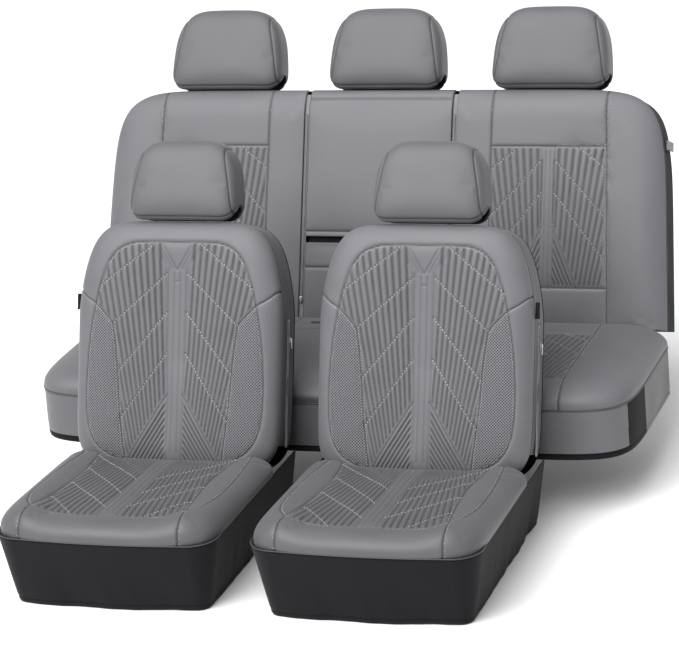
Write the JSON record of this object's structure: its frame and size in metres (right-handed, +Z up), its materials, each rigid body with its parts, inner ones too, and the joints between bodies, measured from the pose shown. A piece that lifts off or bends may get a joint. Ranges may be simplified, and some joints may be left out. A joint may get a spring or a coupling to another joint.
{
  "type": "seat cover set",
  "caption": "Car seat cover set: hollow padded covers for front seats with headrests and for a rear bench with zipped armrest flap, skirts and straps.",
  "frame": {"origin": "on the flat underside of the bench cover's centre section, on the car's centre line, where the cover rests on the rear seat", "axes": "+X to the right as seen from the front, +Y from the front seats to the rear bench, +Z up; the seats face -Y"},
  "size_m": [1.58, 1.6105, 1.0874],
  "materials": {
    "grey_leatherette": "satin grained grey leatherette, sewn and foam backed",
    "light_leatherette": "satin grained grey leatherette, sewn and foam backed",
    "charcoal_fabric": "matt charcoal woven cloth",
    "black_fabric": "matt black stretch cloth",
    "zip_grey": "grey nylon zip tape and teeth",
    "zip_metal": "plated zip slider",
    "black_plastic": "moulded black plastic",
    "grey_elastic": "ribbed grey elastic webbing"
  },
  "bodies": {
    "root": {"bench_centre_panel": "light_leatherette", "bench_front_boxing": "light_leatherette", "bench_left_boxing": "black_fabric", "bench_left_panel": "light_leatherette", "bench_left_strap": "black_fabric", "bench_right_boxing": "black_fabric", "bench_right_panel": "light_leatherette", "bench_right_strap": "black_fabric", "front_left_back_front_panel": "grey_leatherette", "front_left_back_left_wall": "grey_leatherette", "front_left_back_rear_panel": "charcoal_fabric", "front_left_back_right_wall": "grey_leatherette", "front_left_back_top_band": "grey_leatherette", "front_left_cushion_top_panel": "grey_leatherette", "front_left_side_tag": "black_fabric", "front_left_side_zip_chain": "zip_grey", "front_left_skirt_front": "charcoal_fabric", "front_left_skirt_left": "charcoal_fabric", "front_left_skirt_right": "charcoal_fabric", "front_left_strap_buckle": "black_plastic", "front_left_tuck_flap": "black_fabric", "front_left_tuck_rod": "black_plastic", "front_left_under_strap": "black_fabric", "front_right_back_front_panel": "grey_leatherette", "front_right_back_left_wall": "grey_leatherette", "front_right_back_rear_panel": "charcoal_fabric", "front_right_back_right_wall": "grey_leatherette", "front_right_back_top_band": "grey_leatherette", "front_right_cushion_top_panel": "grey_leatherette", "front_right_side_tag": "black_fabric", "front_right_side_zip_chain": "zip_grey", "front_right_skirt_front": "charcoal_fabric", "front_right_skirt_left": "charcoal_fabric", "front_right_skirt_right": "charcoal_fabric", "front_right_strap_buckle": "black_plastic", "front_right_tuck_flap": "black_fabric", "front_right_tuck_rod": "black_plastic", "front_right_under_strap": "black_fabric", "rear_back_centre_band": "light_leatherette", "rear_back_left_panel": "light_leatherette", "rear_back_left_wall": "black_fabric", "rear_back_rear_panel": "black_fabric", "rear_back_right_panel": "light_leatherette", "rear_back_right_wall": "black_fabric", "rear_back_side_strap": "grey_elastic", "rear_back_top_band": "light_leatherette", "rear_left_zip_chain": "zip_grey", "rear_right_zip_chain": "zip_grey"},
    "front_left_headrest": {"front_left_headrest_cover": "grey_leatherette"},
    "front_left_zip_slider": {"front_left_side_zip_slider": "zip_metal"},
    "front_left_zip_pull": {"front_left_side_zip_pull": "zip_metal"},
    "front_right_headrest": {"front_right_headrest_cover": "grey_leatherette"},
    "front_right_zip_slider": {"front_right_side_zip_slider": "zip_metal"},
    "front_right_zip_pull": {"front_right_side_zip_pull": "zip_metal"},
    "rear_left_headrest": {"rear_left_headrest_cover": "grey_leatherette"},
    "rear_centre_headrest": {"rear_centre_headrest_cover": "grey_leatherette"},
    "rear_right_headrest": {"rear_right_headrest_cover": "grey_leatherette"},
    "rear_left_slider": {"rear_left_zip_slider": "zip_metal"},
    "rear_right_slider": {"rear_right_zip_slider": "zip_metal"},
    "armrest_flap": {"rear_armrest_flap": "light_leatherette"}
  },
  "joints": [
    {"name": "front_left_headrest_lift", "type": "slide", "parent": "root", "child": "front_left_headrest", "axis": [0, 0.3338, 0.9426], "range_m": [0, 0.2]},
    {"name": "front_left_zip_travel", "type": "slide", "parent": "root", "child": "front_left_zip_slider", "axis": [0, 0.3338, 0.9426], "range_m": [-0.25, 0.036]},
    {"name": "front_left_pull_swing", "type": "hinge", "parent": "front_left_zip_slider", "child": "front_left_zip_pull", "pos_m": [-0.041, -0.26446, 0.13186], "axis": [0, -0.9426, 0.3338], "range_deg": [0, 150]},
    {"name": "front_right_headrest_lift", "type": "slide", "parent": "root", "child": "front_right_headrest", "axis": [0, 0.3338, 0.9426], "range_m": [0, 0.2]},
    {"name": "front_right_zip_travel", "type": "slide", "parent": "root", "child": "front_right_zip_slider", "axis": [0, 0.3338, 0.9426], "range_m": [-0.25, 0.036]},
    {"name": "front_right_pull_swing", "type": "hinge", "parent": "front_right_zip_slider", "child": "front_right_zip_pull", "pos_m": [0.599, -0.26446, 0.13186], "axis": [0, -0.9426, 0.3338], "range_deg": [0, 150]},
    {"name": "rear_left_headrest_lift", "type": "slide", "parent": "root", "child": "rear_left_headrest", "axis": [0, 0.3584, 0.9336], "range_m": [0, 0.22]},
    {"name": "rear_centre_headrest_lift", "type": "slide", "parent": "root", "child": "rear_centre_headrest", "axis": [0, 0.3584, 0.9336], "range_m": [0, 0.22]},
    {"name": "rear_right_headrest_lift", "type": "slide", "parent": "root", "child": "rear_right_headrest", "axis": [0, 0.3584, 0.9336], "range_m": [0, 0.22]},
    {"name": "rear_left_zip_travel", "type": "slide", "parent": "root", "child": "rear_left_slider", "axis": [0, 0.3584, 0.9336], "range_m": [0, 0.49]},
    {"name": "rear_right_zip_travel", "type": "slide", "parent": "root", "child": "rear_right_slider", "axis": [0, 0.3584, 0.9336], "range_m": [0, 0.49]},
    {"name": "armrest_flap_fold", "type": "hinge", "parent": "root", "child": "armrest_flap", "pos_m": [0, 0.33712, 0.20196], "axis": [1, 0, 0], "range_deg": [0, 110]}
  ]
}
